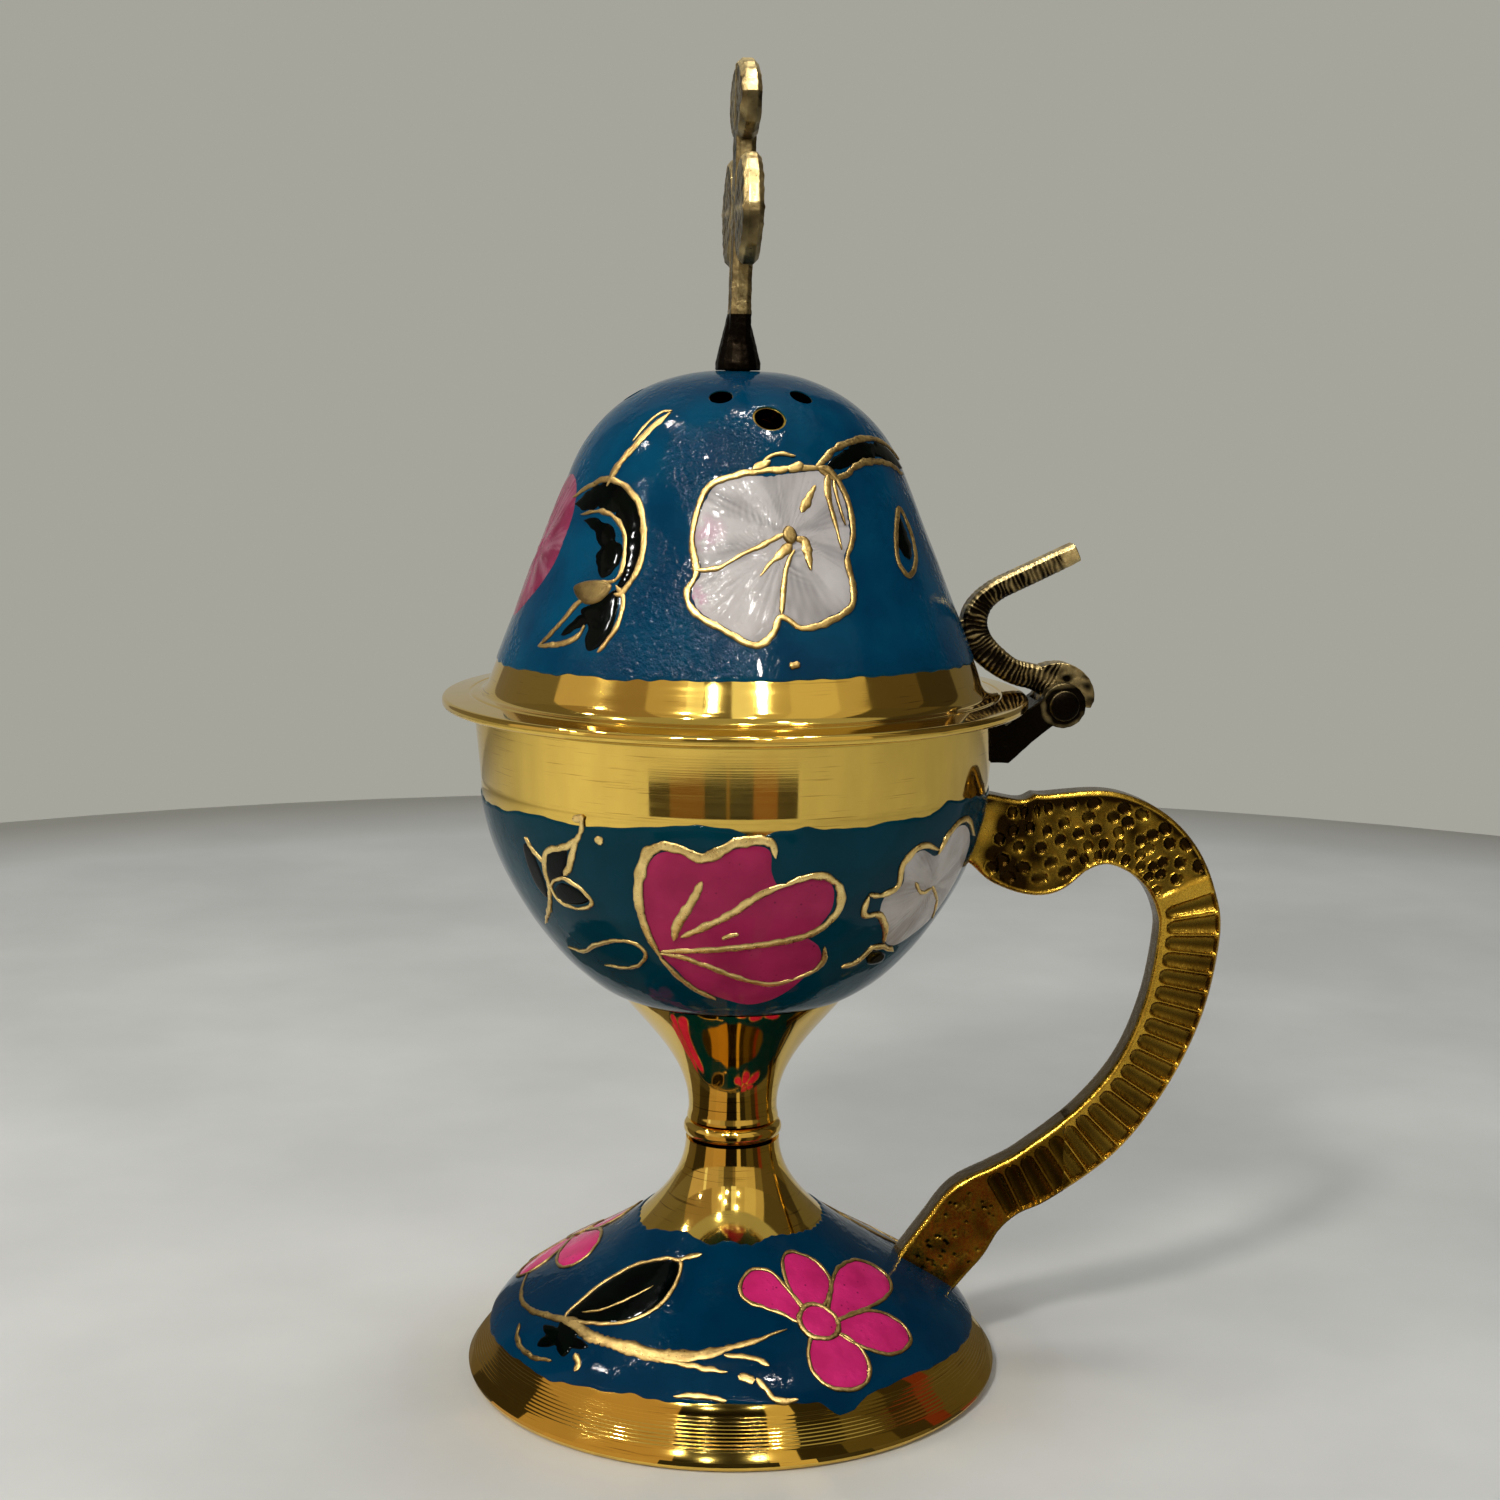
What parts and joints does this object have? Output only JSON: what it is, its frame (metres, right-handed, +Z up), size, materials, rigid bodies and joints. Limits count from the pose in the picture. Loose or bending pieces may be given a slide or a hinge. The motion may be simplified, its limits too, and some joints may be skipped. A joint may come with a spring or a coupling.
{
  "type": "hand censer",
  "caption": "Footed hand censer of brass and coloured enamel with a hinged bell lid, cross finial, thumb lever, ribbed side handle and loose ember pan.",
  "frame": {"origin": "on the resting plane, under the middle of the whole censer's box", "axes": "+Z up, +X towards the handle and the hinge, +Y across; the bowl's upright axis is at x = -14 mm"},
  "size_m": [0.1034, 0.0754, 0.17],
  "materials": {
    "enamelled_brass": "gloss",
    "polished_brass": "polished",
    "gilded_brass": "satin",
    "antique_brass": "satin",
    "plated_steel": "satin",
    "magenta_enamel": "gloss",
    "white_enamel": "gloss",
    "dark_enamel": "gloss"
  },
  "bodies": {
    "base": {"foot": "enamelled_brass", "knop_ring": "polished_brass", "stem_trumpet": "polished_brass", "bowl": "enamelled_brass", "stem_bolt": "plated_steel", "bowl_washer": "plated_steel", "foot_washer": "plated_steel", "foot_nut": "plated_steel", "hinge_bracket": "antique_brass", "hinge_pin": "antique_brass", "handle": "gilded_brass"},
    "lid": {"lid_shell": "enamelled_brass", "cross_finial": "antique_brass", "cross_washer": "polished_brass", "cross_nut": "polished_brass", "thumb_lever": "antique_brass"},
    "pan": {"ember_pan": "polished_brass"}
  },
  "joints": [
    {"name": "lid_hinge", "type": "hinge", "parent": "base", "child": "lid", "pos_m": [0.0287, 0, 0.08885], "axis": [0, 1, 0], "range_deg": [0, 105]},
    {"name": "pan_lift", "type": "slide", "parent": "base", "child": "pan", "axis": [0, 0, 1], "range_m": [0, 0.021]}
  ]
}
